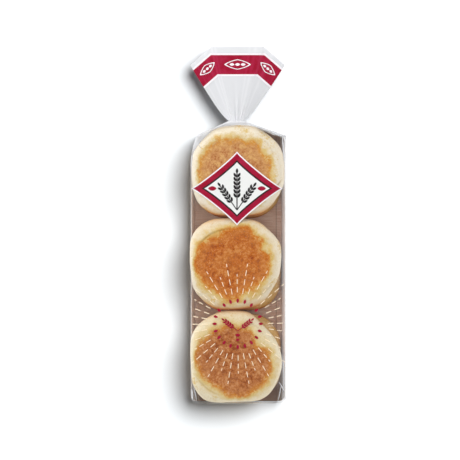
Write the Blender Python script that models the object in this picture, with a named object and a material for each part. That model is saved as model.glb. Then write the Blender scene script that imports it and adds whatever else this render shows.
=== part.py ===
"""A sealed clear bag of six english muffins, lying on its back with the muffins' faces up.

Three stacks of two muffins sit in a card tray inside the bag. The bag is one closed solid out to
its film: the body that is tight over the stacks, the shoulder, the gathered neck and the flared
top with its two tucked creases. Metres, +Z up. +Y runs from the closed end to the flared top,
and the bag rests on z = 0.
"""

import math

import bmesh
import bpy

# Driving dimensions
MUFFIN_DIAMETER = 0.090
MUFFIN_THICKNESS = 0.024
STACKS = 3
LAYERS = 2
SIDE_ROOM = 0.0019  # between the muffins and the film, each side
END_ROOM = 0.0010  # between the last muffin and the film at the closed end
CARD_AND_FILM = 0.0012
BODY_LENGTH = 0.2754  # closed end to neck
FLARE_LENGTH = 0.0726  # neck to rim

# The filled body
HALF_WIDTH = MUFFIN_DIAMETER / 2 + SIDE_ROOM
DEPTH = LAYERS * MUFFIN_THICKNESS + CARD_AND_FILM
SIDE_HEIGHT = 0.022  # where the sides begin to lean in
SAG = 0.0018  # how far the film dips between two stacks
SQUARE_OVER_MUFFIN = 5.5  # superellipse exponent of the top across a stack's middle
ROUND_BETWEEN = 2.4  # and between two stacks
SQUARE_BELOW = 9.0
FLAT_DEPTH = 0.0004  # how far the underside's curve is cut off flat
CORNER_ROUND = 0.007  # in plan, at the closed end
SHOULDER_ROUND = 0.004  # in plan, at the shoulder
EDGE_ROUND = 0.006
UNDER_ROUND = 0.0025
SHOULDER_LENGTH = 0.0130  # from the tray's end to the neck, at the sides
BULGE = 0.009  # the last muffins' round side beyond the tray

# The neck and the flared top, a little to the left of the body's middle
NECK_X = -0.0016
NECK_HALF_WIDTH = 0.0075
NECK_HALF_DEPTH = 0.0055
NECK_Z = 0.024
FLARE_HALF_WIDTH = 0.0463
FLARE_X = FLARE_HALF_WIDTH - HALF_WIDTH
CREASE_HALF_WIDTH = 0.0255  # of the rim's straight middle panel
CORNER_DROP = 0.018  # from the middle panel's rim to the outer corners, along Y
# A fold line leaves the neck towards its first guide point and reaches the rim from its second.
# Each guide is a half width, and how far it lies past the neck at the sides and in the middle.
FIRST_GUIDE = (0.0150, 0.0055, 0.0235)
SECOND_GUIDE = (0.0205, 0.0145, 0.0485)
MOUTH_HALF_DEPTH = 0.0040
RIM_Z = 0.020
TUCK = 0.0010  # the middle panel's step over the side panels

# Resolution
AROUND = 64
CREASE_STEP = 10  # the crease's place on the ring, counted in points from the edge
PLEATS = 16
SHOULDER_PLEAT = 0.0006
NECK_PLEAT = 0.0008
RIM_PLEAT = 0.0004
BODY_RINGS = 30
CORNER_RINGS = 5
SHOULDER_RINGS = 6
FLARE_RINGS = 14

LENGTH = BODY_LENGTH + FLARE_LENGTH
CLOSED_END = -LENGTH / 2
NECK_Y = CLOSED_END + BODY_LENGTH
RIM_Y = LENGTH / 2
FIRST_STACK = CLOSED_END + END_ROOM + MUFFIN_DIAMETER / 2

FILM_COLOUR = (0.86, 0.80, 0.68, 1.0)


def blend(first, last, share):
    """The value that lies this share of the way from first to last."""
    return first + (last - first) * share


def angle_of(step):
    """A point's angle round a ring: the right edge at 0, the top at a quarter turn."""
    return 2 * math.pi * step / AROUND


def valley(y):
    """0 across the middle of a stack, and 1 halfway to the next one and at both ends."""
    nearest = min(max(round((y - FIRST_STACK) / MUFFIN_DIAMETER), 0), STACKS - 1)
    away = (y - FIRST_STACK) / MUFFIN_DIAMETER - nearest
    return 0.5 - 0.5 * math.cos(2 * math.pi * min(abs(away), 0.5))


def rounding(distance, radius):
    """How far a surface has turned in at this distance from a rounded end."""
    left = min(max(radius - distance, 0.0), radius)
    return radius - math.sqrt(radius**2 - left**2)


def body_end(x):
    """Where the body ends towards the neck: at the tray's end by the sides, and further out over
    the last muffins' round side.
    """
    return NECK_Y - SHOULDER_LENGTH + BULGE * (1 - (x / HALF_WIDTH) ** 2)


def body_point(step, share):
    """A point of the body's section, share of the way from the closed end to the shoulder."""
    angle = angle_of(step)
    across = math.cos(angle)
    end = body_end(across * HALF_WIDTH)
    y = blend(CLOSED_END, end, share)
    from_end = min(y - CLOSED_END, end - y)
    corner = CORNER_ROUND if share < 0.5 else SHOULDER_ROUND
    half_width = HALF_WIDTH - rounding(from_end, corner)
    dip = valley(y)
    if math.sin(angle) >= 0:
        rise = DEPTH - SAG * dip - rounding(from_end, EDGE_ROUND) - SIDE_HEIGHT
        exponent = blend(SQUARE_OVER_MUFFIN, ROUND_BETWEEN, dip)
        z = SIDE_HEIGHT + rise * (1 - abs(across) ** exponent) ** (1 / exponent)
    else:
        lowest = rounding(from_end, UNDER_ROUND)
        fall = SIDE_HEIGHT + FLAT_DEPTH - lowest
        z = SIDE_HEIGHT - fall * (1 - abs(across) ** SQUARE_BELOW) ** (1 / SQUARE_BELOW)
        z = max(z, lowest)
    return (half_width * across, y, z)


def neck_point(step):
    """A point of the neck, which is an ellipse."""
    angle = angle_of(step)
    return (
        NECK_X + NECK_HALF_WIDTH * math.cos(angle),
        NECK_Y,
        NECK_Z + NECK_HALF_DEPTH * math.sin(angle),
    )


def pleated(point, centre, step, depth):
    """The point moved out from or in to the centre line by its pleat."""
    x, y, z = point
    reach = math.hypot(x - centre[0], z - centre[1])
    scale = 1 + depth * math.cos(PLEATS * angle_of(step)) / reach
    return (centre[0] + (x - centre[0]) * scale, y, centre[1] + (z - centre[1]) * scale)


def shoulder_point(step, share):
    """A point of the film that runs straight from the body's end to the neck, in growing pleats."""
    point = [blend(a, b, share) for a, b in zip(body_point(step, 1.0), neck_point(step))]
    centre = (blend(0.0, NECK_X, share), blend(SIDE_HEIGHT, NECK_Z, share))
    depth = NECK_PLEAT * share**2 + SHOULDER_PLEAT * share * (1 - share)
    return pleated(point, centre, step, depth)


def rim_outline(across):
    """The rim seen from above, from one outer corner at -1 to the other at 1: three straight
    panels, which meet at the two creases.
    """
    crease = math.cos(angle_of(CREASE_STEP))
    if abs(across) <= crease:
        return (FLARE_X + CREASE_HALF_WIDTH * across / crease, RIM_Y)
    share = (abs(across) - crease) / (1 - crease)
    x = math.copysign(blend(CREASE_HALF_WIDTH, FLARE_HALF_WIDTH, share), across)
    return (FLARE_X + x, RIM_Y - CORNER_DROP * share)


def guide_point(guide, across):
    """Where a fold line's guide point lies, for a fold this far across."""
    half_width, at_sides, at_middle = guide
    return (NECK_X + half_width * across, NECK_Y + blend(at_middle, at_sides, across**2))


def flare_outline(across, share):
    """A fold line of the flared top seen from above, as a Bezier curve from neck to rim. Near the
    sides it leaves the neck outwards, so that the outline is bell-shaped.
    """
    points = (
        (NECK_X + NECK_HALF_WIDTH * across, NECK_Y),
        guide_point(FIRST_GUIDE, across),
        guide_point(SECOND_GUIDE, across),
        rim_outline(across),
    )
    left = 1 - share
    weights = (left**3, 3 * share * left**2, 3 * share**2 * left, share**3)
    return [sum(w * p[axis] for w, p in zip(weights, points)) for axis in (0, 1)]


def flare_point(step, share):
    """A point of the flared top: a flat cone in pleats, its middle panel lapped over the sides."""
    angle = angle_of(step)
    x, y = flare_outline(math.cos(angle), share)
    half_depth = blend(NECK_HALF_DEPTH, MOUTH_HALF_DEPTH, share)
    pleat = blend(NECK_PLEAT, RIM_PLEAT, share) * math.cos(PLEATS * angle)
    in_middle_panel = abs(math.cos(angle)) < math.cos(angle_of(CREASE_STEP - 0.5))
    tuck = math.copysign(TUCK * share, math.sin(angle)) if in_middle_panel else 0.0
    lift = half_depth * math.sin(angle) + pleat * abs(math.sin(angle)) + tuck
    return (x, y, blend(NECK_Z, RIM_Z, share) + lift)


def ring_shares():
    """The body's stations, closer together where it turns in at its two ends."""
    end_share = CORNER_ROUND / (BODY_LENGTH - SHOULDER_LENGTH)
    turns = [math.pi / 2 * k / CORNER_RINGS for k in range(CORNER_RINGS)]
    at_end = [end_share * (1 - math.cos(turn)) for turn in turns]
    between = [blend(end_share, 1 - end_share, k / BODY_RINGS) for k in range(BODY_RINGS + 1)]
    return at_end + between + [1 - share for share in reversed(at_end)]


def all_rings():
    """The bag's rings of points from its closed end to its rim."""
    steps = range(AROUND)
    rings = [[body_point(j, share) for j in steps] for share in ring_shares()]
    for k in range(1, SHOULDER_RINGS + 1):
        rings.append([shoulder_point(j, k / SHOULDER_RINGS) for j in steps])
    for k in range(1, FLARE_RINGS + 1):
        rings.append([flare_point(j, k / FLARE_RINGS) for j in steps])
    return rings


def cap_rim(bm, ring):
    """Closes the mouth with a strip from the front film to the back film."""
    half = AROUND // 2
    for j in range(half):
        # at the two outer corners the strip ends in a triangle, with one point there twice
        bm.faces.new(dict.fromkeys((ring[j], ring[j + 1], ring[-j - 1], ring[-j])))


def make_bag():
    """The whole bag as one closed mesh, lofted through its rings."""
    bm = bmesh.new()
    rings = [[bm.verts.new(point) for point in ring] for ring in all_rings()]
    for first, second in zip(rings, rings[1:]):
        for j in range(AROUND):
            after = (j + 1) % AROUND
            bm.faces.new((first[j], first[after], second[after], second[j]))
    bm.faces.new(rings[0])
    cap_rim(bm, rings[-1])
    bmesh.ops.recalc_face_normals(bm, faces=bm.faces)
    mesh = bpy.data.meshes.new("bag")
    bm.to_mesh(mesh)
    bm.free()
    mesh.shade_smooth()
    mesh.set_sharp_from_angle(angle=math.radians(40))
    bag = bpy.data.objects.new("bag", mesh)
    bpy.context.scene.collection.objects.link(bag)
    return bag


def film_material():
    """The bag as a plain solid: the muffins' cream under gloss film."""
    material = bpy.data.materials.new("film")
    material.use_nodes = True
    shader = material.node_tree.nodes["Principled BSDF"]
    shader.inputs["Base Color"].default_value = FILM_COLOUR
    shader.inputs["Roughness"].default_value = 0.25
    shader.inputs["Metallic"].default_value = 0.0
    return material


def main():
    """Clears the scene and builds the bag."""
    for obj in list(bpy.data.objects):
        bpy.data.objects.remove(obj)
    bag = make_bag()
    bag.data.materials.append(film_material())


main()
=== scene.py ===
"""The looks of a sealed clear bag of english muffins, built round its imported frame.

Three stacks of two muffins lie in a card tray, faces up, under film that is pulled tight over
them, gathered at the neck and flared at the top. The print on the film is generic: a diamond
badge, a sunburst of dashes and a band, with wheat ears and lozenges and no lettering.
Everything is in metres and in the frame of the CAD part, which the bag's box gives.
"""

import math
from dataclasses import dataclass, field

import bpy
import numpy as np
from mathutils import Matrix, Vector, noise
from mathutils.bvhtree import BVHTree


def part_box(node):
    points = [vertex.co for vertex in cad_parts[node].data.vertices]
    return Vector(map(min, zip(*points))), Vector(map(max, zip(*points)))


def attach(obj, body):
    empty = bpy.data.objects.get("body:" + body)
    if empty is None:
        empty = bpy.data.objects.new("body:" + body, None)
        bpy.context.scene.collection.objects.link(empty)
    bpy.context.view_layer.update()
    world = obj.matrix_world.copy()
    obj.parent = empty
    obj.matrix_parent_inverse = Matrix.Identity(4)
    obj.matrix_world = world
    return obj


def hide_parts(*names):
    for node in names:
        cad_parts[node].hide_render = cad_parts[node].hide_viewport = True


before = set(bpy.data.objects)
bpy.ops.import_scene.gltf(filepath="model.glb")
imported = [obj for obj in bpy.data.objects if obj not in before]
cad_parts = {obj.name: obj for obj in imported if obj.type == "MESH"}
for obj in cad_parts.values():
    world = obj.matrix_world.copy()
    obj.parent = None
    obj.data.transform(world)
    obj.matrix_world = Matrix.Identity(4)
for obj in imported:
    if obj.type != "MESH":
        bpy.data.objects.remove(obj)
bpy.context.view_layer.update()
LOW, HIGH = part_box("bag")
MM = 0.001

# The bag, from its CAD box
HALF_WIDTH = HIGH.x
CLOSED_END = LOW.y
RIM_Y = HIGH.y
DEPTH = HIGH.z
NECK_Y = RIM_Y - 72.6 * MM
SHOULDER_Y = NECK_Y - 14.2 * MM  # where the body ends at the sides
BULGE = 11 * MM  # and how much further it reaches in the middle

# What is in it
FILM_GAP = 0.25 * MM
CARD_THICKNESS = 0.6 * MM
MUFFIN_HEIGHT = (DEPTH - 2 * FILM_GAP - CARD_THICKNESS) / 2 - 0.1 * MM
LOWER_Z = FILM_GAP + CARD_THICKNESS + MUFFIN_HEIGHT / 2
UPPER_Z = DEPTH - FILM_GAP - MUFFIN_HEIGHT / 2
SIDE_HOLD = HALF_WIDTH - 0.2 * MM  # how far out the film stands beside the tray
SIDE_HOLD_TOP = 27 * MM
LEFT_SHOULDER = (12 * MM, 38 * MM)  # how far that corner is rounded off, across and along


def srgb(red, green, blue):
    """A colour given as 0 to 255 screen values, in the linear values that shaders use."""
    shares = [value / 255 for value in (red, green, blue)]
    linear = [s / 12.92 if s <= 0.04045 else ((s + 0.055) / 1.055) ** 2.4 for s in shares]
    return (*linear, 1.0)


def blend(first, last, share):
    """The value that lies this share of the way from first to last."""
    return first + (last - first) * share


def smooth_step(value, start, end):
    """0 before start and 1 after end, with a smooth turn between them."""
    share = np.clip((value - start) / (end - start), 0, 1)
    return share * share * (3 - 2 * share)


def bell(distance, width):
    """1 at no distance, and less further off: about a third at this width."""
    return np.exp(-((distance / width) ** 2))


def degrees_from(place, angle):
    """How many degrees an angle in radians lies from this place, from -180 to 180."""
    return (np.degrees(angle) - place + 180) % 360 - 180


def round_circle(count):
    """The angles of this many equal steps round a circle."""
    return 2 * math.pi * np.arange(count) / count


def unit(vectors):
    """The vectors at a length of 1."""
    return vectors / np.linalg.norm(vectors, axis=1)[:, None]


def rounding(distance, radius):
    """How far a surface has turned in at this distance from a rounded end."""
    left = np.clip(radius - distance, 0, radius)
    return radius - np.sqrt(radius**2 - left**2)


def shoulder_cut(x, y):
    """How much narrower the bag's left shoulder makes what lies here."""
    across, along = LEFT_SHOULDER
    share = np.clip((y - SHOULDER_Y - 4 * MM) / along + 1, 0, 1)
    return np.where(x < 0, across * (1 - np.sqrt(1 - share**2)), 0.0)


def noise_at(points, size, seed=0.0, octaves=1):
    """Smooth noise from about -1 to 1 at each point, in lumps of this size in millimetres."""
    offset = Vector((seed * 7.31, seed * 3.17, seed * 5.03))
    places = (Vector(p) / (size * MM) + offset for p in points)
    if octaves == 1:
        values = [noise.noise(p) for p in places]
    else:
        values = [noise.fractal(p, 0.8, 2.1, octaves) for p in places]
    return np.array(values)


# Meshes


def add_object(name, data, *groups):
    """A new object in the scene and in these collections of it."""
    made = bpy.data.objects.new(name, data)
    for collection in (bpy.context.scene.collection, *groups):
        collection.objects.link(made)
    return made


def make_object(name, points, faces, material, slot, smooth=True):
    """A piece of the object: a mesh that rides on the part's one body."""
    mesh = bpy.data.meshes.new(name)
    mesh.from_pydata([tuple(p) for p in points], [], faces)
    mesh.validate()
    if smooth:
        mesh.shade_smooth()
    mesh.materials.append(material)
    piece = add_object(name, mesh, PIECES)
    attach(piece, "root")
    return piece


def loft_faces(rows, columns, closed=True):
    """Quads between rows of points. A closed row is a loop."""
    spans = columns if closed else columns - 1
    faces = []
    for first in range(0, (rows - 1) * columns, columns):
        for j in range(spans):
            here, after = first + j, first + (j + 1) % columns
            faces.append((here, after, after + columns, here + columns))
    return faces


def set_attribute(piece, name, values):
    """Gives each vertex a number that the piece's material can read."""
    attribute = piece.data.attributes.new(name, "FLOAT", "POINT")
    attribute.data.foreach_set("value", np.asarray(values, np.float32))


# Materials


class Shader:
    """The nodes of a material, with a short call for each kind that is used here."""

    def __init__(self, name, owners=bpy.data.materials, main="Principled BSDF"):
        self.material = owners.new(name)
        self.material.use_nodes = True
        self.tree = self.material.node_tree
        self.main = self.tree.nodes[main]
        self.places = self.add("TexCoord").outputs

    def fill(self, socket, value):
        """Links the socket to another one, or gives it a plain value."""
        if isinstance(value, bpy.types.NodeSocket):
            self.tree.links.new(value, socket)
        else:
            socket.default_value = value

    def add(self, kind, inputs=(), **settings):
        node = self.tree.nodes.new("ShaderNode" + kind)
        for key, value in settings.items():
            setattr(node, key, value)
        for key, value in dict(inputs).items():
            self.fill(node.inputs[key], value)
        return node

    def set(self, **values):
        """Fills the main shader's sockets, named with _ for a space."""
        for key, value in values.items():
            self.fill(self.main.inputs[key.replace("_", " ")], value)

    def axes(self, kind="Object"):
        """The place's X, Y and Z."""
        return self.add("SeparateXYZ", {0: self.places[kind]}).outputs

    def attribute(self, name):
        return self.add("Attribute", attribute_name=name).outputs["Fac"]

    def math(self, operation, first, second=0.0):
        return self.add("Math", {0: first, 1: second}, operation=operation).outputs[0]

    def average(self, first, second, share=0.5):
        """The two values mixed, with this share of the second."""
        parts = [self.math("MULTIPLY", first, 1 - share), self.math("MULTIPLY", second, share)]
        return self.math("ADD", *parts)

    def noise(self, size, detail=2.0, roughness=0.5, seed=0.0, stretch=(1, 1, 1)):
        """Noise from 0 to 1 in lumps of this size in millimetres, longer along a stretched axis."""
        moving = {
            "Vector": self.places["Object"],
            "Location": (seed, 2 * seed, 3 * seed),
            "Scale": [1 / (size * MM * s) for s in stretch],
        }
        moved = self.add("Mapping", moving).outputs[0]
        inputs = {"Vector": moved, "Scale": 1.0, "Detail": detail, "Roughness": roughness}
        return self.add("TexNoise", inputs).outputs["Fac"]

    def ramp(self, value, stops):
        """The colour at this value, from (position, colour) stops."""
        made = self.add("ValToRGB", {"Fac": value})
        elements = made.color_ramp.elements
        while len(elements) < len(stops):
            elements.new(0.5)
        for element, stop in zip(elements, stops):
            element.position, element.color = stop
        return made.outputs["Color"]

    def range(self, value, low, high, to_low=0.0, to_high=1.0):
        """The value moved from one range to another and held inside it."""
        ends = {"From Min": low, "From Max": high, "To Min": to_low, "To Max": to_high}
        return self.add("MapRange", {"Value": value, **ends}).outputs[0]

    def mix(self, share, first, second):
        """The first colour with this share of the second over it."""
        return self.add("Mix", {0: share, 6: first, 7: second}, data_type="RGBA").outputs[2]

    def bump(self, height, depth, strength):
        """A normal from a height of 0 to 1 that stands for this depth in millimetres."""
        inputs = {"Height": height, "Distance": depth * MM, "Strength": strength}
        return self.add("Bump", inputs).outputs[0]


# Muffins

COLUMNS = 256
FLAT_ROWS = 56
RIM_ROWS = 34
ROUNDNESS = 2.3  # superellipse exponent of the rim's section
PRESSED = 17.0  # how sharply the outline turns where a neighbour presses on it
LOWER_FLAT = (0, 0, 38)  # the lower flat's offset and radius in millimetres
FOLD_REACH = 45 * MM


@dataclass
class Fold:
    """A crease in a muffin's rim, from one place to another. A place is an angle in degrees and
    a share of FOLD_REACH. The dough outside the crease stands up by its step. Its depth and its
    step are in millimetres.
    """

    start: tuple
    end: tuple
    depth: float = 0.5
    step: float = 0.3


@dataclass
class Muffin:
    """One muffin: where it lies, in metres, and its outline, its griddled flat and how brown
    that is. Angles are in degrees, and all other lengths are in millimetres.
    """

    name: str
    centre: tuple
    radius: float  # where nothing presses on it
    pressed: list  # (angle, distance) of each side that something presses flat
    flat: tuple  # the upper flat's offset along X and Y, and its radius
    seed: int
    tone: str
    lobes: list = field(default_factory=list)  # (angle, height, width) of the flat's bulges
    folds: list = field(default_factory=list)

    def waves(self, angle, size, salt, first, last):
        """Smooth unevenness round the muffin, the same each time."""
        random = np.random.default_rng(self.seed * 100 + salt)
        total = 0.0
        for count in range(first, last + 1):
            phase = random.uniform(0, 2 * math.pi)
            total = total + random.uniform(0.4, 1) / count * np.cos(count * angle + phase)
        return size * total

    def edge(self, angle):
        """The outline's radius, pressed flat where a neighbour touches it."""
        radius = self.radius * MM + self.waves(angle, 0.6 * MM, 1, 3, 7)
        for degrees, distance in self.pressed:
            facing = np.cos(angle - math.radians(degrees))
            wall = distance * MM / np.maximum(facing, 0.05)
            radius = (radius**-PRESSED + wall**-PRESSED) ** (-1 / PRESSED)
        return radius

    def flat_edge(self, angle, upper=True):
        """How far the griddled flat reaches from the muffin's centre."""
        x, y, radius = [length * MM for length in (self.flat if upper else LOWER_FLAT)]
        away = math.hypot(x, y)
        turn = angle - math.atan2(y, x)
        reach = away * np.cos(turn) + np.sqrt(radius**2 - (away * np.sin(turn)) ** 2)
        reach = reach + self.waves(angle, 0.9 * MM, 2 if upper else 3, 3, 9)
        for degrees, height, width in self.lobes if upper else []:
            reach = reach + height * MM * bell(degrees_from(degrees, angle), width)
        return np.minimum(reach, self.edge(angle) - 3.2 * MM)

    def holds(self, x, y, z, grow):
        """Which of these places lie in the muffin when it is grown by this much."""
        around = np.linspace(-math.pi, math.pi, 721)
        dx, dy, dz = x - self.centre[0], y - self.centre[1], z - self.centre[2]
        angle = np.arctan2(dy, dx)
        edge = np.interp(angle, around, self.edge(around)) + grow
        flats = [np.interp(angle, around, self.flat_edge(around, upper)) for upper in (True, False)]
        flat = np.where(dz > 0, *flats)
        out = np.clip((np.hypot(dx, dy) - flat) / (edge - flat), 0, None)
        up = abs(dz) / (MUFFIN_HEIGHT / 2 + grow)
        return out**ROUNDNESS + up**ROUNDNESS < 1


def muffin_rows(muffin):
    """Rows of points from the upper face's middle to the lower one's, and how far each lies
    inside its griddled flat. On the rim that is below zero: a millimetre for each tenth of it.
    """
    angle = round_circle(COLUMNS)
    edge = muffin.edge(angle)
    rows, inside = [], []
    for upper in (True, False):
        flat = muffin.flat_edge(angle, upper)
        face = [(flat * (i + 0.35) / FLAT_ROWS, 1.0) for i in range(FLAT_ROWS)]
        for i in range(RIM_ROWS + 1 if upper else RIM_ROWS):
            turn = math.pi / 2 * i / RIM_ROWS
            out = math.sin(turn) ** (2 / ROUNDNESS)
            up = math.cos(turn) ** (2 / ROUNDNESS) if i < RIM_ROWS else 0.0
            face.append((blend(flat, edge, out), up))
        for radius, up in face if upper else face[::-1]:
            height = np.full(COLUMNS, MUFFIN_HEIGHT / 2 * (up if upper else -up))
            rows.append(np.stack([radius * np.cos(angle), radius * np.sin(angle), height], -1))
            on_rim = 10 * MM * (flat - radius) / (edge - flat)
            inside.append(np.where(radius > flat, on_rim, flat - radius))
    return np.array(rows), np.array(inside)


def fold_marks(muffin, points):
    """How far folds move each point of the muffin's upper side, and how far in a crease it is: the
    share that the material darkens as painted shade.
    """
    angle = np.arctan2(points[:, 1], points[:, 0])
    radius = np.hypot(points[:, 0], points[:, 1])
    lift, crease = np.zeros(len(points)), np.zeros(len(points))
    for fold in muffin.folds:
        share = degrees_from(fold.start[0], angle) / (fold.end[0] - fold.start[0])
        away = radius - blend(fold.start[1], fold.end[1], share) * FOLD_REACH
        strength = smooth_step(share, 0, 0.3) * (1 - smooth_step(share, 0.7, 1))
        strength = np.where(points[:, 2] > 0, strength, 0)
        groove = strength * bell(away, 0.8 * MM)
        step = strength * np.exp(-np.clip(away, 0, None) / (4 * MM)) * (away > 0)
        lift += fold.step * MM * step - fold.depth * MM * groove
        crease = np.maximum(crease, groove * min(fold.depth, 1))
    return lift, crease


def make_muffin(muffin, material):
    """The muffin as a mesh, with uneven dough and folds in its rim."""
    rows, inside = muffin_rows(muffin)
    points = rows.reshape(-1, 3)
    inside = inside.ravel()
    faces = loft_faces(len(rows), COLUMNS)
    count = len(points)
    faces.append(tuple(range(COLUMNS))[::-1])
    faces.append(tuple(range(count - COLUMNS, count)))
    on_flat = smooth_step(inside, -1.5 * MM, 1.5 * MM)
    lumps = blend(0.55, 0.2, on_flat) * noise_at(points, 16, muffin.seed)
    bumps = blend(0.28, 0.1, on_flat) * noise_at(points, 5, muffin.seed + 1, 3)
    grain = 0.05 * noise_at(points, 1.6, muffin.seed + 2)
    lip = 0.22 * bell(inside + 1.2 * MM, 1.3 * MM)
    folded, crease = fold_marks(muffin, points)
    lift = (lumps + bumps + grain + lip) * MM + folded
    radius = muffin.radius * MM
    outward = points / np.array([radius, radius, MUFFIN_HEIGHT / 2]) ** 2
    outward[:, :2] *= (1 - on_flat)[:, None]
    lift = np.minimum(lift - 0.35 * MM, 0.1 * MM)
    points = points + unit(outward) * lift[:, None]
    points[:, 2] = np.clip(points[:, 2], -MUFFIN_HEIGHT / 2, MUFFIN_HEIGHT / 2)
    piece = make_object(muffin.name, points, faces, material, "muffin")
    piece.location = muffin.centre
    set_attribute(piece, "griddle", np.clip(0.5 + inside / (24 * MM), 0, 1))
    set_attribute(piece, "crease", crease)
    return piece


# Dough, its yellow glow, the flat's golden edge, its brown, its dark and its light spots
TONES = {
    "golden": [
        (240, 229, 208), (224, 194, 126), (214, 146, 60),
        (203, 142, 88), (172, 90, 38), (223, 173, 108),
    ],
    "brown": [
        (238, 226, 202), (222, 188, 112), (209, 125, 40),
        (192, 101, 31), (152, 66, 12), (213, 141, 73),
    ],
    "tan": [
        (238, 227, 199), (222, 192, 124), (206, 132, 52),
        (184, 110, 57), (147, 72, 28), (209, 148, 95),
    ],
    # The lower muffins' dough, darkened as painted shade for lying under the upper ones.
    "shaded": [
        (220, 182, 120), (208, 160, 86), (186, 120, 52),
        (174, 106, 50), (138, 74, 28), (200, 146, 88),
    ],
}
SIDE_YELLOW = srgb(220, 168, 88)
# Dark reddish brown: painted contact shade where muffins touch, over their golden low sides.
CONTACT_SHADE_TAN = srgb(176, 82, 18)
# Olive brown: painted shade in the rims' creases.
CREASE_SHADE_OLIVE = srgb(178, 138, 66)
YELLOW_REACH = {"golden": 0.28, "brown": 0.2, "tan": 0.18, "shaded": 0.26}
PALER_RING = {"golden": 0.4, "brown": 0.4, "tan": 0.1, "shaded": 0.1}


def muffin_material(name, tone, seed, neighbours):
    """Pale dough that turns yellow and then a mottled brown where it met the griddle, and is golden
    low down, with painted contact shade, a dark reddish brown, where it has neighbours: below and
    above along Y.
    """
    pale, yellow, edge, brown, dark, light = [srgb(*colour) for colour in TONES[tone]]
    s = Shader(name)
    lumps = s.noise(14, 2, 0.5, seed)
    patches = s.noise(5, 3, 0.6, seed + 3)
    grain = s.noise(2.2, 3, 0.7, seed + 5)
    fine = s.noise(0.9, 2, 0.6, seed + 8)
    griddle = s.attribute("griddle")
    for unevenness, size in ((lumps, 0.10), (patches, 0.07), (grain, 0.05)):
        griddle = s.math("ADD", griddle, s.range(unevenness, 0.3, 0.7, -size, size))
    creams = [(0.34, yellow), (0.45, pale), (0.54, pale), (0.63, srgb(246, 238, 218))]
    cream = s.ramp(s.average(lumps, grain), creams)
    spots = s.average(patches, grain)
    browned = s.ramp(spots, [(0.42, dark), (0.475, brown), (0.52, brown), (0.59, light)])
    golden = s.ramp(spots, [(0.42, brown), (0.475, edge), (0.53, edge), (0.60, yellow)])
    to_yellow = s.mix(s.range(griddle, YELLOW_REACH[tone], 0.45), cream, yellow)
    to_golden = s.mix(s.range(griddle, 0.43, 0.56), to_yellow, golden)
    big = s.noise(24, 1, 0.5, seed + 11)
    browned = s.mix(s.range(big, 0.45, 0.7, 0.0, 0.25), browned, light)
    browned = s.mix(s.range(griddle, 1.0, 0.74, 0.0, PALER_RING[tone]), browned, light)
    colour = s.mix(s.range(griddle, 0.58, 0.76), to_golden, browned)
    _, y, z = s.axes()
    # Golden low sides, darkened towards a neighbour as painted contact shade.
    low_down = s.range(s.math("ABSOLUTE", z), 11.6 * MM, 4.5 * MM)
    below = s.range(y, -30 * MM, -43 * MM, 0.1, 1.0 if neighbours[0] else 0.1)
    above = s.range(y, 33 * MM, 42 * MM, 0.1, 0.4 if neighbours[1] else 0.1)
    tan_and_contact_shade = s.math("MULTIPLY", low_down, s.math("MAXIMUM", below, above))
    tan = s.ramp(tan_and_contact_shade, [(0.35, SIDE_YELLOW), (1.0, CONTACT_SHADE_TAN)])
    colour = s.mix(s.range(tan_and_contact_shade, 0.0, 0.6, 0.0, 0.95), colour, tan)
    # Painted shade: the creases darkened to olive brown.
    colour = s.mix(s.math("MULTIPLY", s.attribute("crease"), 0.8), colour, CREASE_SHADE_OLIVE)
    flecks = s.range(fine, 0.56, 0.70, 0.0, 0.35)
    colour = s.mix(flecks, colour, s.mix(0.45, colour, srgb(250, 240, 214)))
    normal = s.bump(s.average(grain, fine, 0.3), 0.5, 0.8)
    rough = s.range(grain, 0.3, 0.7, 0.72, 0.9)
    s.set(Base_Color=colour, Roughness=rough, Specular_IOR_Level=0.12, Normal=normal)
    return s.material


# The six muffins, faces up, the lower three a little to the right of the upper three
MUFFINS = [
    Muffin(
        "muffin_upper_1", (-2.0 * MM, CLOSED_END + 45.4 * MM, UPPER_Z), 60,
        [(14, 43.7), (182, 44.8), (-88, 44.3), (89, 45.7), (44, 40.6), (121, 47.8),
         (148, 49.8), (-16, 47.1), (-36, 50.2), (-50, 51.2), (-139, 52.5)],
        (-3.0, -4.8, 35.9), 3, "tan",
        [(-125, -6.0, 18), (-88, -1.6, 14), (-25, 4.0, 22), (30, -5.5, 22), (80, -1.5, 15),
         (160, 2.0, 30)],
        [Fold((205, 0.97), (250, 0.9)), Fold((40, 0.78), (75, 0.8), 0.3, 0.2)],
    ),
    Muffin(
        "muffin_upper_2", (-2.3 * MM, CLOSED_END + 134.7 * MM, UPPER_Z), 52.0,
        [(-5, 44.0), (184, 44.8), (-86, 43.8), (40, 48.4), (66, 50.4), (91, 46.9),
         (-35, 43.2), (-134, 47.8)],
        (-3.5, 2.8, 35.2), 5, "brown",
        [(180, 2.5, 22), (-88, 2.0, 10), (-57, -3.5, 20), (0, 2.0, 16), (30, -3.0, 8),
         (45, 3.2, 9), (75, 2.5, 14), (118, -5.6, 20)],
        [Fold((96, 0.78), (157, 0.93), 0.8, 0.6), Fold((-60, 0.82), (-20, 0.9), 0.3)],
    ),
    Muffin(
        "muffin_upper_3", (-0.3 * MM, CLOSED_END + 225.7 * MM, UPPER_Z), 49.4,
        [(1, 46.4), (179, 46.0), (93, 46.7), (-90, 44.4), (-37, 47.2), (50, 48.4), (135, 48.4)],
        (-3.6, -0.5, 35.2), 9, "golden",
        [(-142, -3.5, 14), (2, 2.2, 24), (58, 1.8, 10), (76, -2.5, 8), (107, -3.8, 10),
         (146, 2.2, 20)],
        [Fold((-44, 0.75), (-6, 0.99), 0.8, 0.7), Fold((20, 0.85), (60, 0.9), 0.25, 0.2)],
    ),
]
lower_places = [(45.0, 44.6, 43.6), (132.4, 43.4, 44.0), (222.6, 44.0, 44.0)]
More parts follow.
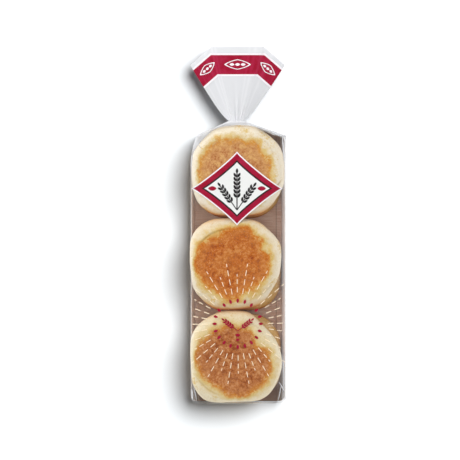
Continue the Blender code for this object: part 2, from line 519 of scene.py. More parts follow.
for row, (along, before, after) in enumerate(lower_places):
    centre = (0.2 * MM, CLOSED_END + along * MM, LOWER_Z)
    pressed = [(0, 42.5), (180, 42.5), (-90, before), (90, after)]
    name = f"muffin_lower_{row + 1}"
    # The lower three take the darker dough, which is painted shade.
    MUFFINS.append(Muffin(name, centre, 47, pressed, (0, 0, 34), 13 + 4 * row, "shaded"))


# The card tray

TRAY_WALL = 27 * MM
TRAY_BASE = 42.3 * MM  # half the base's width
TRAY_TOP = 45.7 * MM  # half the width between the walls' tops
WALL_CORNER = 6 * MM  # how far the walls' closed-end corners are rounded off
TRAY_END = SHOULDER_Y + 9.6 * MM
END_CURVE = 11 * MM  # how much sooner the tray ends at its sides than in its middle
SCORE_X = 37.3 * MM  # a scored line along the base

# The card's colours: where dark, where pale and on the walls. The inside is painted paler than the
# outside, and its walls paler still: painted light against the shade deep in the tray.
CARD_INSIDE_LIT = (srgb(234, 200, 182), srgb(255, 234, 222), srgb(254, 231, 216))
CARD_OUTSIDE = (srgb(206, 176, 150), srgb(232, 208, 184), srgb(226, 201, 176))


def make_tray():
    """Card folded up at both sides. Its folds run inwards at the closed end, and its other end
    is curved like the bag's shoulders.
    """
    floor = FILM_GAP + CARD_THICKNESS / 2
    right = [(i / 12, 0.0) for i in range(12)] + [(1.0, i / 20) for i in range(21)]
    profile = [(-x, height) for x, height in reversed(right[1:])] + right
    rows = 150
    points, unfolded = [], []
    for along in np.linspace(0, 1, rows):
        for across, up in profile:
            rounded = (1 - math.sqrt(1 - up**2)) * WALL_CORNER
            low = CLOSED_END + 1.2 * MM + rounded
            high = TRAY_END - END_CURVE * across**2 - 4 * MM * up**2
            y = blend(low, high, along)
            inwards = 3.6 * MM * (1 - smooth_step(y, CLOSED_END, CLOSED_END + 18 * MM))
            half_width = blend(TRAY_BASE - inwards, TRAY_TOP, up) - shoulder_cut(across, y)
            points.append((across * half_width, y, floor + up * (TRAY_WALL - floor)))
            unfolded.append(abs(across) * TRAY_BASE + up * TRAY_WALL)
    piece = make_object(
        "card_tray", points, loft_faces(rows, len(profile), False),
        card_material("card_inside", CARD_INSIDE_LIT, 0.85), "card", smooth=False,
    )
    for look in (cut_edge_material(), card_material("card_outside", CARD_OUTSIDE, 0.0)):
        piece.data.materials.append(look)
    set_attribute(piece, "unfolded", unfolded)
    thick = piece.modifiers.new("thickness", "SOLIDIFY")
    thick.thickness, thick.offset = CARD_THICKNESS, 0.0
    thick.material_offset_rim, thick.material_offset = 1, 2
    return piece


def card_material(name, tone, painted_end_shade):
    """Recycled card: flecked, with fine ribs across the tray, paler on its walls as painted light,
    and with painted shade that makes it this much darker towards its ends.
    """
    dark, pale, on_walls = tone
    s = Shader(name)
    clouds = s.noise(20, 2, 0.5)
    ribs = s.noise(1.1, 1, 0.5, 4, (16, 1, 16))
    flecks = s.noise(0.9, 2, 0.7, 9)
    colour = s.ramp(s.average(clouds, ribs, 0.6), [(0.36, dark), (0.64, pale)])
    colour = s.mix(s.range(flecks, 0.64, 0.72, 0.0, 0.5), colour, srgb(160, 120, 94))
    from_fold = s.math("SUBTRACT", s.attribute("unfolded"), TRAY_BASE)
    # The walls take their own tone, which inside is paler as painted light.
    wall = s.range(from_fold, -0.4 * MM, 0.6 * MM, 0.0, 0.8)
    colour = s.mix(wall, colour, on_walls)
    x, y, _ = s.axes()
    from_score = s.math("ABSOLUTE", s.math("SUBTRACT", x, SCORE_X))
    colour = s.mix(s.range(from_score, 0.2 * MM, 0.5 * MM, 0.45, 0.0), colour, srgb(112, 82, 70))
    # Painted shade: darker and greyer towards both ends, where the tray's corners lie in shade, with
    # a pale line kept along the fold there.
    half_length = (TRAY_END - CLOSED_END) / 2
    from_middle = s.math("ABSOLUTE", s.math("SUBTRACT", y, CLOSED_END + half_length))
    ends = s.range(from_middle, half_length - 40 * MM, half_length - 14 * MM, 0.0, painted_end_shade)
    colour = s.mix(ends, colour, s.mix(wall, srgb(112, 88, 76), srgb(98, 88, 78)))
    to_fold = s.range(s.math("ABSOLUTE", from_fold), 0.3 * MM, 0.8 * MM, 1.0, 0.0)
    colour = s.mix(s.math("MULTIPLY", to_fold, ends), colour, srgb(204, 190, 176))
    s.set(Base_Color=colour, Roughness=0.9, Normal=s.bump(ribs, 0.12, 0.6), Specular_IOR_Level=0.2)
    return s.material


def cut_edge_material():
    """The card's paler cut edges, in thin layers."""
    s = Shader("card_cut_edge")
    layers = s.noise(0.4, 2, 0.6, 2, (20, 20, 0.5))
    colour = s.ramp(layers, [(0.35, srgb(206, 190, 180)), (0.65, srgb(232, 220, 212))])
    s.set(Base_Color=colour, Roughness=0.95, Normal=s.bump(layers, 0.05, 0.5))
    return s.material


# The film

AROUND = 320
BODY_ROWS = 176
END_ROWS = 14
SHOULDER_ROWS = 22
FLARE_ROWS = 44
AXIS_Z = 22 * MM
CORNER_RADII = (7 * MM, 4 * MM)  # seen from above, at the closed end and at the shoulders
END_RADII = (6 * MM, 2.5 * MM)  # seen from the side, above and below the axis
SQUARENESS = (6.0, 14.0)  # superellipse exponents of the section, above and below the axis
END_HAZE, SHOULDER_HAZE, FLARE_HAZE = 0.06, 0.45, 0.9
NECK_X, NECK_Z = -1.6 * MM, 24 * MM
NECK_HALF_WIDTH, NECK_HALF_DEPTH = 7.5 * MM, 5.5 * MM
FLARE_X = -0.6 * MM
FLARE_HALF_WIDTH = 46.3 * MM
CREASE_HALF_WIDTH = 25.5 * MM
CREASE_DEGREES = 56.25  # where the creases leave the neck
CREASE = math.cos(math.radians(CREASE_DEGREES))  # and how far across the neck that is
CORNER_DROP = 18 * MM
MOUTH_HALF_DEPTH = 3.2 * MM
RIM_Z = 20 * MM
GUIDES = [  # (X, Y) in millimetres from the neck's middle: for the middle line, crease and side
    ((0.0, 23.5), (10.5, 20.0), (15.0, 5.5)),
    ((0.0, 48.5), (20.5, 50.0), (20.5, 14.0)),
]
RING = round_circle(AROUND)
COS, SIN = np.cos(RING), np.sin(RING)
NEAREST_AND_FURTHEST = (18, 60)  # millimetres from the axis, where the film can meet the contents
HALVINGS = 7  # of the last millimetre, to find where it does
PULLS = 500  # rounds of pulling the film tight


def touched(x, y, z):
    """Which of these places are in a muffin or in the room that the film leaves the tray."""
    filled = (abs(x) < SIDE_HOLD - shoulder_cut(x, y)) & (z < SIDE_HOLD_TOP) & (z > 0.1 * MM)
    filled &= (y > CLOSED_END + 4 * MM) & (y < SHOULDER_Y + 0.2 * MM)
    for muffin in MUFFINS:
        near = abs(y - muffin.centre[1]) < (muffin.radius + 3) * MM
        filled[near] |= muffin.holds(x[near], y[near], z[near], FILM_GAP)
    return filled


def contact_lengths(out, y, up):
    """How far the contents reach along each film point's ray, which starts on the bag's axis
    with the direction (out, up).
    """
    lengths = np.zeros(y.shape)
    for step in np.arange(*NEAREST_AND_FURTHEST) * MM:
        lengths[touched(out * step, y, AXIS_Z + up * step)] = step
    span = MM / 2
    for _ in range(HALVINGS):
        longer = lengths + span
        hit = touched(out * longer, y, AXIS_Z + up * longer)
        lengths = np.where(hit, longer, lengths)
        span /= 2
    return lengths


def film_body():
    """The film round the contents: a round-cornered tube, pulled tight as each point moves in
    along its ray towards its neighbours until the contents stop it.
    """
    even = np.linspace(-1, 1, BODY_ROWS)[:, None]
    shares = 0.5 + 0.5 * np.sign(even) * (1 - (1 - abs(even)) ** 1.25)  # closer together at its ends
    side = np.clip(COS / np.maximum(abs(SIN), 1e-6), -1, 1)
    y_end = SHOULDER_Y + BULGE * (1 - side**2)
    y = CLOSED_END + (y_end - CLOSED_END) * shares
    from_end = np.minimum(y - CLOSED_END, y_end - y)
    corner = np.where(shares < 0.5, *CORNER_RADII)
    half_width = HALF_WIDTH - np.maximum(rounding(from_end, corner), shoulder_cut(COS, y))
    above = SIN >= 0
    height = np.where(above, DEPTH - AXIS_Z, AXIS_Z)
    rise = height - rounding(from_end, np.where(above, *END_RADII))
    out, up = COS * HALF_WIDTH, SIN * height
    length = np.hypot(out, up)
    out, up = out / length + 0 * y, up / length + 0 * y
    square = np.where(above, *SQUARENESS)
    start = ((abs(out) / half_width) ** square + (abs(up) / rise) ** square) ** (-1 / square)
    reach = contact_lengths(out, y, up)
    ray = np.maximum(start, reach)
    fixed = from_end < 1.2 * MM
    for _ in range(PULLS):
        pulled = 0
        for direction in (out, up):
            place = ray * direction
            beside = (np.roll(place, 1, 1) + np.roll(place, -1, 1)) / 2
            along = place.copy()
            along[1:-1] = (place[2:] + place[:-2]) / 2
            pulled = pulled + (0.6 * beside + 0.4 * along) * direction
        ray = np.where(fixed, ray, np.maximum(pulled, reach))
    slack = smooth_step(ray - reach, 0.2 * MM, 2.5 * MM)
    points = np.stack([ray * out, y, AXIS_Z + ray * up], -1)
    return points, slack, np.stack([out, 0 * y, up], -1)


def crumple(points, slack, outward):
    """Fine wrinkles where the film is free: short along the bag and long round it."""
    flat = points.reshape(-1, 3)
    stretched = flat * np.array([0.22, 1.0, 0.22])
    ripples = noise_at(stretched, 4.2, 2.0).reshape(slack.shape)
    waves = noise_at(flat, 14, 5.0).reshape(slack.shape)
    lift = MM * (slack * (0.22 * ripples + 0.25 * waves) + 0.03 * ripples)
    off_floor = points[..., 2] >= MM
    return points + outward * (lift * off_floor)[..., None]


def pleat(angle):
    """Uneven gathers round the neck, from -1 to 1."""
    random = np.random.default_rng(4)
    total = 0.0
    for count, size in ((13, 0.35), (19, 0.4), (29, 0.25)):
        total = total + size * np.cos(count * angle + random.uniform(0, 2 * math.pi))
    return total


def painted_sheen_streaks(angle):
    """Painted sheen: pale streaks down the flared top, one on each crease and others by chance."""
    random = np.random.default_rng(6)
    lines = [(CREASE_DEGREES, 2.0, 0.5), (180 - CREASE_DEGREES, 2.0, 0.5)]
    for place in random.uniform(0, 360, 26):
        lines.append((place, random.uniform(0.9, 3.0), random.uniform(0.15, 0.55)))
    total = 0 * angle
    for degrees, width, strength in lines:
        total = np.maximum(total, strength * bell(degrees_from(degrees, angle), width))
    return total


def film_shoulder(end_ring):
    """The film from the body's end to the neck, in gathers that deepen."""
    x, z = NECK_X + NECK_HALF_WIDTH * COS, NECK_Z + NECK_HALF_DEPTH * SIN
    neck = np.stack([x, NECK_Y + 0 * x, z], -1)
    centre = np.array([NECK_X, 0, NECK_Z])
    rows = []
    for share in np.arange(1, SHOULDER_ROWS + 1) / SHOULDER_ROWS:
        ring = blend(end_ring, neck, share)
        away = ring - centre
        away[:, 1] = 0
        depth = 0.9 * MM * share**2 + 2.2 * MM * share * (1 - share)
        rows.append(ring + unit(away) * (depth * pleat(RING))[:, None])
    return np.array(rows)


def panel_shares(across):
    """How far out a place lies in the flared top's middle panel and in its side panel."""
    out = abs(across)
    return np.clip(out / CREASE, 0, 1), np.clip((out - CREASE) / (1 - CREASE), 0, 1)


def rim_outline(across):
    """The rim from above: three straight panels that meet at the two creases."""
    inner, outer = panel_shares(across)
    x = CREASE_HALF_WIDTH * inner + (FLARE_HALF_WIDTH - CREASE_HALF_WIDTH) * outer
    return FLARE_X + np.sign(across) * x, RIM_Y - CORNER_DROP * outer


def flare_outline(across, share):
    """A place on a fold line of the flared top from above: a Bezier curve from neck to rim, with
    guides between those of the middle line, the crease and the side.
    """
    inner, outer = panel_shares(across)
    points = [(NECK_X + NECK_HALF_WIDTH * across, NECK_Y + 0 * across)]
    for guides in GUIDES:
        x, y = [blend(blend(mid, crease, inner), side, outer) for mid, crease, side in zip(*guides)]
        points.append((NECK_X + np.sign(across) * x * MM, NECK_Y + y * MM))
    points.append(rim_outline(across))
    left = 1 - share
    weights = (left**3, 3 * share * left**2, 3 * share**2 * left, share**3)
    return [sum(w * p[axis] for w, p in zip(weights, points)) for axis in (0, 1)]


def flare_point(angle, share):
    """A point of the flared top: a flat cone in gathers that fade towards the rim, its middle
    panel a little over the side panels.
    """
    across, up = np.cos(angle), np.sin(angle)
    x, y = flare_outline(across, share)
    half_depth = blend(NECK_HALF_DEPTH, MOUTH_HALF_DEPTH, share)
    gather = blend(0.9 * MM, 0.0, smooth_step(share, 0, 0.45)) + 0.10 * MM
    inside_crease = smooth_step(CREASE - abs(across), -0.012, 0.012)
    tuck = 0.7 * MM * share * inside_crease * np.sign(up)
    face = np.sqrt(abs(up)) * np.sign(up)
    lift = half_depth * up * 0.6 + half_depth * face * 0.4 + tuck
    lift = lift + gather * pleat(angle) * abs(up)
    return np.stack([x, y, blend(NECK_Z, RIM_Z, share) + lift], -1)


def film_end(first_ring):
    """The closed end: rings from its middle out to the body's first ring, a little pressed in."""
    middle = np.array([0.0, CLOSED_END, AXIS_Z + 2 * MM])
    rows = []
    for share in (np.arange(END_ROWS) + 0.5) / (END_ROWS + 0.5):
        ring = blend(middle, first_ring, share)
        dent = noise_at(ring, 9, 8.0) * (1 - share)
        ring[:, 1] += MM * (0.5 + 0.5 * dent) * (1 - share**4)
        rows.append(ring)
    return np.array(rows)


def points_outside(some, x, y):
    """How far these places lie outside the nearest of some muffins, seen from above."""
    nearest = np.full(x.shape, 1.0)
    for muffin in some:
        dx, dy = x - muffin.centre[0], y - muffin.centre[1]
        nearest = np.minimum(nearest, np.hypot(dx, dy) - muffin.edge(np.arctan2(dy, dx)))
    return nearest


def film_veil(body):
    """How milky the film's body is, from 0 to 1: near the neck and in the left shoulder, where
    gathered film lies in layers and its milkiness also stands for a painted highlight, and up the
    sides, where it is painted light only; clear where it lies on muffins. The places are in
    millimetres.
    """
    x, y, z = np.moveaxis(body, -1, 0)
    beside_last = smooth_step(points_outside(MUFFINS[2:3], x, y), -1.6 * MM, 0.4 * MM)
    beside_all = points_outside(MUFFINS[:3], x, y) > 0
    from_edge = y - SHOULDER_Y - BULGE * (1 - (x / HALF_WIDTH) ** 2)
    x, y, z, from_edge = [lengths / MM for lengths in (x, y, z, from_edge)]
    near_neck = smooth_step(from_edge, -5, 0)
    in_corner = smooth_step(-x, 22, 32) * smooth_step(y, 66, 78)
    # Painted highlight and painted light: milky strips up the left and right sides.
    left_side_painted_highlight = 0.8 * smooth_step(-x, 43.5, 45.5) * smooth_step(y, 44, 66) * smooth_step(z, 18, 30)
    right_side_painted_light = 0.36 * smooth_step(x, 42, 43.4) * smooth_step(z, 25, 28) * beside_all
    return np.maximum(beside_last * np.maximum(np.maximum(near_neck, in_corner), left_side_painted_highlight), right_side_painted_light)


def film_rows():
    """The film's rings from its closed end to its rim, and how milky each point is."""
    body, slack, outward = film_body()
    body = crumple(body, slack, outward)
    body[..., 0] = np.clip(body[..., 0], -HALF_WIDTH, HALF_WIDTH)
    end = film_end(body[0])
    shoulder = film_shoulder(body[-1])
    shares = np.arange(1, FLARE_ROWS + 1) / FLARE_ROWS
    flare = np.array([flare_point(RING, share) for share in shares])
    veil = film_veil(body)
    gathered = np.linspace(0, 1, SHOULDER_ROWS)[:, None] + 0 * shoulder[..., 0]
    end_haze = np.full(end.shape[:2], END_HAZE)
    flare_haze = np.full(flare.shape[:2], FLARE_HAZE)
    # The veil carries painted light as well as the milky gathered film.
    body_haze = 0.004 + 0.6 * veil + 0.01 * slack
    shoulder_haze = blend(SHOULDER_HAZE, FLARE_HAZE, gathered)
    haze = np.concatenate([end_haze, body_haze, shoulder_haze, flare_haze])
    rows = np.concatenate([end, body, shoulder, flare])
    rows[..., 2] = np.clip(rows[..., 2], 0.05 * MM, DEPTH)
    return rows, haze


def make_film(material):
    """The bag itself: one sheet of film from its closed end to its open top."""
    rows, haze = film_rows()
    faces = loft_faces(len(rows), AROUND)
    faces.append(tuple(range(AROUND))[::-1])
    piece = make_object("film_bag", rows.reshape(-1, 3), faces, material, "film")
    set_attribute(piece, "haze", haze.ravel())
    gathered = smooth_step(rows[..., 1], SHOULDER_Y, NECK_Y)
    set_attribute(piece, "sheen_streak", (gathered * painted_sheen_streaks(RING)).ravel())
    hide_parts("bag")
    return piece


def film_material():
    """Clear gloss film that mirrors more at a slant and is milky where its layers lie together and
    where its haze is painted light, paler still at painted sheen streaks.
    """
    s = Shader("film")
    s.tree.nodes.remove(s.main)
    fine = s.noise(2.5, 3, 0.6, 1, (0.5, 2, 1))
    normal = s.bump(fine, 0.10, 0.5)
    slant = s.add("LayerWeight", {"Blend": 0.5}).outputs["Facing"]
    mirror = s.range(s.math("POWER", slant, 5.0), 0, 1, 0.03, 0.55)
    haze = s.math("ADD", s.attribute("haze"), s.math("MULTIPLY", s.math("POWER", slant, 4.0), 0.15))
    clear = s.add("BsdfTransparent", {"Color": (0.97, 0.975, 0.98, 1)}).outputs[0]
    # Painted sheen: the milky film is paler at the streaks.
    milk = s.mix(s.attribute("sheen_streak"), srgb(230, 231, 234), srgb(244, 244, 247))
    white = s.add("BsdfDiffuse", {"Color": milk, "Normal": normal}).outputs[0]
    shine = {"Color": (1, 1, 1, 1), "Roughness": 0.12, "Normal": normal}
    gloss = s.add("BsdfGlossy", shine).outputs[0]
    body = s.add("MixShader", {0: haze, 1: clear, 2: white}).outputs[0]
    whole = s.add("MixShader", {0: mirror, 1: body, 2: gloss}).outputs[0]
    s.fill(s.tree.nodes["Material Output"].inputs["Surface"], whole)
    return s.material


# Prints and creases on the film. All but the bands are laid out in millimetres.

INKS = {  # each fresh and worn; the worn colour is also painted as sheen at the streaks
    "crimson": ((156, 2, 42), (184, 44, 82)),
    "white": ((248, 242, 246), (236, 228, 234)),
    "black": ((34, 31, 32), (52, 48, 50)),
    "grey": ((238, 239, 237), (228, 229, 228)),
    "cream": ((255, 238, 208), (252, 228, 190)),
}


def ink_material(ink):
    """Ink with a soft gloss, unevenly worn to a second colour, and given that colour as painted
    sheen along the streaks.
    """
    colour, worn_and_sheen = [srgb(*shade) for shade in INKS[ink]]
    s = Shader(f"{ink}_ink")
    clouds = s.noise(7, 3, 0.6, 2)
    grain = s.noise(0.7, 2, 0.6, 5)
    colour = s.mix(s.range(s.average(clouds, grain, 0.4), 0.42, 0.66, 0.0, 0.5), colour, worn_and_sheen)
    s.set(
        # Painted sheen: paler along the streaks.
        Base_Color=s.mix(s.attribute("sheen_streak"), colour, worn_and_sheen),
        Roughness=s.range(clouds, 0.3, 0.7, 0.35, 0.5),
        Specular_IOR_Level=0.35,
        Normal=s.bump(grain, 0.02, 0.4),
    )
    return s.material


def turned(x, y, centre, angle):
    """The point (x, y) turned by the angle and moved to the centre."""
    return (
        centre[0] + x * math.cos(angle) - y * math.sin(angle),
        centre[1] + x * math.sin(angle) + y * math.cos(angle),
    )


def run_of(start, end):
    """The length of a straight line and its angle."""
    return math.dist(start, end), math.atan2(end[1] - start[1], end[0] - start[0])


def on_film(surface, x, y, lift):
    """The point this far off the film's upper side, or None beside the film."""
    above = Vector((x * MM, y * MM, 4 * DEPTH))
    point, normal, _, _ = surface.ray_cast(above, Vector((0, 0, -1)))
    if point is None:
        return None
    return point + normal * math.copysign(lift * MM, normal.z)


def joined(parts):
    """Small meshes as one, without those that lie partly beside the film."""
    points, faces = [], []
    for placed, part_faces in parts:
        if all(point is not None for point in placed):
            faces += [tuple(len(points) + corner for corner in face) for face in part_faces]
            points += placed
    return points, faces


def print_shapes(name, surface, outlines, lift, material, slot):
    """Small fields of one ink, each an outline that is filled from its middle."""
    parts = []
    for outline in outlines:
        count = len(outline)
        middle = np.mean(outline, axis=0)
        placed = [on_film(surface, x, y, lift) for x, y in [middle, *outline]]
        parts.append((placed, [(0, 1 + i, 1 + (i + 1) % count) for i in range(count)]))
    return make_object(name, *joined(parts), material, slot)


def print_ring(name, surface, centre, inner, outer, lift, material, slot, turn=0.0):
    """A field of one ink between two outlines, which give the radius at an angle. It can be
    turned about its centre.
    """
    columns = 144
    angles = round_circle(columns)
    rows = 2 + int(max(outer(a) - inner(a) for a in angles) / 1.2)
    points = []
    for share in np.linspace(0, 1, rows):
        for angle in angles:
            radius = blend(inner(angle), outer(angle), share)
            points.append(on_film(surface, *turned(radius, 0, centre, angle + turn), lift))
    return make_object(name, points, loft_faces(rows, columns), material, slot)


def diamond(half_width, half_height, inset=0.0, power=0.92):
    """The outline of a diamond with slightly hollow sides, moved in by the inset."""
    slope = math.hypot(half_width, half_height)
    across = half_width - inset * slope / half_height
    up = half_height - inset * slope / half_width

    def radius(angle):
        share = abs(math.cos(angle) / across) ** power + abs(math.sin(angle) / up) ** power
        return share ** (-1 / power)

    return radius


def kernel(centre, angle, length, width):
    """A wheat kernel's outline: a leaf shape along the angle, pointed at both ends."""
    outline = []
    for turn in round_circle(16):
        x = length / 2 * math.cos(turn)
        y = width / 2 * math.sin(turn) * abs(math.sin(turn)) ** 0.5
        outline.append(turned(x, y, centre, angle))
    return outline


def bar(start, end, width):
    """A straight bar's outline with points along both its sides."""
    length, angle = run_of(start, end)
    xs = [length * i / 5 for i in range(6)]
    sides = [(x, -width / 2) for x in xs] + [(x, width / 2) for x in reversed(xs)]
    return [turned(x, y, start, angle) for x, y in sides]


def wheat_ear(base, angle, length, pairs):
    """A wheat ear's outlines: a stalk, pairs of kernels that lean out, and a top one."""
    stalk_end = turned(0.9 * length, 0, base, angle)
    shapes = [bar(base, stalk_end, 0.018 * length + 0.3)]
    size = 0.66 * length / (pairs + 1)
    for i in range(pairs):
        along = 0.34 * length + i * size
        for side in (-1, 1):
            centre = turned(along, side * 0.5 * size, base, angle)
            shapes.append(kernel(centre, angle + side * math.radians(28), 1.25 * size, 0.6 * size))
    top = turned(0.34 * length + pairs * size, 0, base, angle)
    shapes.append(kernel(top, angle, 1.3 * size, 0.6 * size))
    return shapes


def print_badge(surface, inks):
    """The badge: a diamond of nested fields with three wheat ears in it."""
    centre = (-1.2, 35.3)
    size = (44.5, 36)
    steps = [
        ("badge_keyline", 0.0, 1.3, "white"),
        ("badge_frame", 1.3, 6.4, "crimson"),
        ("badge_line", 6.4, 8.0, "black"),
        ("badge_field", 8.0, None, "grey"),
    ]
    for name, outside, inside, ink in steps:
        outer = diamond(*size, outside)
        inner = diamond(*size, inside) if inside else (lambda angle: 0.1)
        print_ring(name, surface, centre, inner, outer, 0.1, *inks[ink])
    base = (centre[0], centre[1] - 21)
    ears = wheat_ear(base, math.radians(90), 42, 6)
    for side in (-1, 1):
        ears += wheat_ear(base, math.radians(90 - 35 * side), 34, 5)
    print_shapes("badge_wheat", surface, ears, 0.2, *inks["black"])
    places = [(centre[0] + side * 24, centre[1]) for side in (-1, 1)]
    gems = [kernel(place, 0.0, 8, 4.4) for place in places]
    print_shapes("badge_gems", surface, gems, 0.2, *inks["crimson"])


def print_sunburst(surface, inks):
    """Rays of cream dashes, every other ray shorter, round a ring of beads and a sprig."""
    centre = (-0.5, -96.4)
    dashes = []
    for ray in range(36):
        angle = math.radians(10 * ray - 0.7)
        if ray % 2:
            spans = [(29.2, 34.8), (38.3, 43.9), (47.3, 52.9), (56.2, 59.2)]
        else:
            spans = [(30.6, 35.8), (38.8, 43.4), (46.0, 48.4)]
        for span in spans:
            start, end = [turned(reach, 0, centre, math.pi / 2 - angle) for reach in span]
            if abs(end[0]) < HALF_WIDTH / MM - 0.9:
                dashes.append(bar(start, end, 0.7))
    print_shapes("sunburst", surface, dashes, 0.12, *inks["cream"])
    beads = []
    for i in range(20):
        angle = math.radians(18 * i)
        beads.append(kernel(turned(22.5, 0, centre, angle), angle, 4.4, 2.6))
    for down, half_width in ((-11, 2.4), (-15.5, 1.8)):
        beads.append(kernel((centre[0], centre[1] + down), 0.0, 2 * half_width, 1.3 * half_width))
    base = (centre[0], centre[1] - 7)
    for side in (-1, 1):
        beads += wheat_ear(base, math.radians(90 - 52 * side), 21, 4)
    print_shapes("sunburst_beads", surface, beads, 0.12, *inks["crimson"])


def flare_share(angle, from_middle, from_side):
    """The share of the way from neck to rim where each fold line is this far from the rim, in
    its middle panel and in its side panels.
    """
    run = FLARE_HALF_WIDTH - CREASE_HALF_WIDTH
    across = np.cos(angle)
    low, high = 0 * across, 0 * across + 1
    for _ in range(30):
        middle = (low + high) / 2
        x, y = flare_outline(across, middle)
        out = CREASE_HALF_WIDTH - abs(x - FLARE_X)
        slanted = (out * CORNER_DROP + (RIM_Y - y) * run) / math.hypot(run, CORNER_DROP)
        beyond = (RIM_Y - y < from_middle) | (slanted < from_side)
        high = np.where(beyond, middle, high)
        low = np.where(beyond, low, middle)
    return low


def off_flare(angle, share, lift):
    """Points that stand this far off the flared top."""
    step = 1e-4
    round_it = flare_point(angle + step, share) - flare_point(angle - step, share)
    along_it = flare_point(angle, share + step) - flare_point(angle, share - step)
    normal = unit(np.cross(round_it, along_it))
    outward = np.stack([np.cos(angle), 0 * angle, np.sin(angle)], -1)
    normal *= np.sign((normal * outward).sum(1))[:, None]
    return flare_point(angle, share) + lift * normal


def print_bands(inks):
    """The band and its two edge lines round the flared top."""
    edges = MM * np.array([(6.3, 3.9), (8.2, 5.8), (27.0, 24.3), (28.9, 26.1)])
    names = [("band_upper_line", "white"), ("band", "crimson"), ("band_lower_line", "white")]
    for (name, ink), near, far in zip(names, edges, edges[1:]):
        rows = 3 + int((far[0] - near[0]) / (1.2 * MM))
        points = []
        for from_rim in np.linspace(near, far, rows):
            share = flare_share(RING, *from_rim)
            points += list(off_flare(RING, share, 0.12 * MM))
        piece = make_object(name, points, loft_faces(rows, AROUND), *inks[ink])
        set_attribute(piece, "sheen_streak", np.tile(painted_sheen_streaks(RING), rows))


def print_lozenges(surface, inks):
    """White lozenge outlines on the band with three kernels in each."""
    slant = math.atan2(CORNER_DROP, FLARE_HALF_WIDTH - CREASE_HALF_WIDTH)
    places = [(0.0, 17.4, 0.0, 13, 5)]
    for side in (-1, 1):
        places.append((side * 29.5, 21.5, -side * slant, 9.5, 4.4))
    kernels = []
    for index, (x, down, turn, half_width, half_height) in enumerate(places):
        centre = (FLARE_X / MM + x, RIM_Y / MM - down)
        outer = diamond(half_width, half_height, 0.0, 1.3)
        inner = diamond(half_width, half_height, 0.7, 1.3)
        name = f"lozenge_{index}"
        print_ring(name, surface, centre, inner, outer, 0.3, *inks["white"], turn)
        for along in (-0.42, 0.0, 0.42):
            spot = turned(along * half_width, 0, centre, turn)
            kernels.append(kernel(spot, turn, 0.36 * half_width, 0.55 * half_height))
    print_shapes("lozenge_kernels", surface, kernels, 0.3, *inks["white"])


def make_creases(surface, material):
    """Narrow folds where the film is doubled, by its corners and shoulders, made milky to stand for
    the bright glints along them: partly doubled film, partly painted highlight.
    """
    folds = [
        ((39.5, -153), (45.2, -162.8), 1.0), ((43.4, -128), (44.2, -160), 0.9),
        ((-45.4, -160), (-44.8, -171), 1.6), ((-43.5, -158), (-40.6, -171.5), 0.9),
        ((41.8, -156), (38.8, -171.5), 0.9), ((-41.5, 88), (-20, 97), 0.9),
        ((42.6, 86), (44.8, 61), 1.5), ((-42.0, 82), (-36, 74), 0.8), ((40, 88), (14, 98), 0.8),
    ]
    parts = []
    rows = 24
    for start, end, width in folds:
        length, angle = run_of(start, end)
        placed = []
        for share in np.linspace(0, 1, rows):
            half = width / 2 * math.sin(math.pi * share) ** 0.5
            bend = 0.02 * length * math.sin(math.pi * share)
            for side, lift in ((-1, 0.04), (0, 0.22), (1, 0.04)):
                x, y = turned(length * share, bend + side * half, start, angle)
                placed.append(on_film(surface, x, y, lift))
        parts.append((placed, loft_faces(rows, 3, False)))
    points, faces = joined(parts)
    piece = make_object("film_creases", points, faces, material, "film")
    # Painted highlight: the folds are milkier than doubled film alone would make them.
    set_attribute(piece, "haze", np.full(len(points), 0.6))


def make_prints(film, film_look):
    """Everything that lies on the film."""
    points = [v.co.copy() for v in film.data.vertices]
    surface = BVHTree.FromPolygons(points, [tuple(f.vertices) for f in film.data.polygons])
    inks = {ink: (ink_material(ink), f"{ink}_ink") for ink in INKS}
    print_badge(surface, inks)
    print_sunburst(surface, inks)
    print_bands(inks)
    print_lozenges(surface, inks)
    make_creases(surface, film_look)


# Stage


def make_light(name, kind, towards, power, receivers):
    """A light that shines this way, on these objects only."""
    data = bpy.data.lights.new(name, kind)
    data.energy = power
    light = add_object(name, data)
    light.rotation_euler = Vector(towards).to_track_quat("-Z", "Y").to_euler()
    light.light_linking.receiver_collection = receivers
    return light


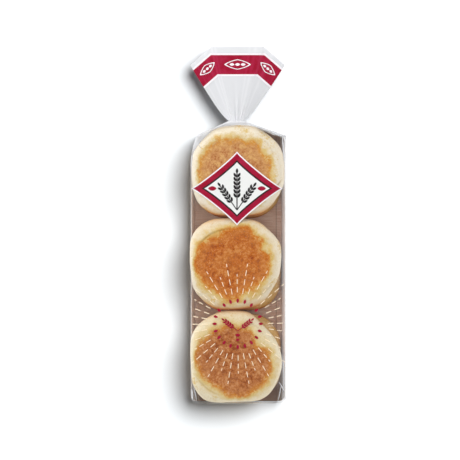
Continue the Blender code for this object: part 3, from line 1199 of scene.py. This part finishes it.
def make_lights():
    """Soft boxes that point at the bag's middle and light only the bag, and soft light from the
    upper right that whitens the floor and throws the bag's shadow.
    """
    boxes = [
        ("key", (-0.85, 0.8, 0.85), 1.5, 19.2), ("fill_right", (1.1, 0.55, 0.8), 1.5, 8.8),
        ("fill_front", (0.2, -1.2, 0.75), 1.5, 7.0), ("overhead", (0.05, 0.05, 1.6), 0.8, 4),
    ]
    for name, place, size, power in boxes:
        light = make_light(name, "AREA", Vector((0, 0, 0.02)) - Vector(place), power, PIECES)
        light.location = place
        light.data.size = size
        light.visible_glossy = False
    sun = make_light("floor_sun", "SUN", (-0.405, -0.37, -1.0), 8.2, STAGE)
    sun.data.angle = math.radians(38)


def make_floor():
    """A wide white floor just under the bag."""
    size = 60.0
    mesh = bpy.data.meshes.new("floor")
    corners = [(-size, -size, 0), (size, -size, 0), (size, size, 0), (-size, size, 0)]
    mesh.from_pydata(corners, [], [(0, 1, 2, 3)])
    s = Shader("floor")
    s.set(Base_Color=(0.45, 0.464, 0.475, 1), Roughness=0.95, Specular_IOR_Level=0.0)
    mesh.materials.append(s.material)
    floor = add_object("floor", mesh, STAGE)
    floor.location.z = -0.3 * MM


def make_world():
    """Surroundings that are bright near the horizon and dark overhead, where the film would
    mirror them over the muffins.
    """
    s = Shader("studio", bpy.data.worlds, "Background")
    greys = [(0.0, 1.0), (0.05, 1.0), (0.12, 0.6), (0.75, 0.1)]
    stops = [(height, (grey, grey, grey, 1)) for height, grey in greys]
    s.set(Color=s.ramp(s.axes("Generated")["Z"], stops))
    bpy.context.scene.world = s.material


def make_camera():
    """Straight above the bag, a little off its middle and far off, behind a long lens."""
    data = bpy.data.cameras.new("camera")
    height = 6.0
    width = 449.8 * MM  # what the view takes in at the rim's height
    data.lens = data.sensor_width * (height - RIM_Z) / width
    camera = add_object("camera", data)
    camera.location = (-8.0 * MM, -5.1 * MM, height)
    bpy.context.scene.camera = camera


PIECES = bpy.data.collections.new("bag_pieces")
STAGE = bpy.data.collections.new("stage")
bpy.context.scene.collection.children.link(PIECES)
bpy.context.scene.collection.children.link(STAGE)
bpy.context.scene.view_settings.view_transform = "Standard"

for index, muffin in enumerate(MUFFINS):
    neighbours = (index % 3 > 0, index % 3 < 2)
    make_muffin(muffin, muffin_material(muffin.name, muffin.tone, 11.0 * index, neighbours))
make_tray()
film_look = film_material()
make_prints(make_film(film_look), film_look)
make_floor()
make_world()
make_lights()
make_camera()
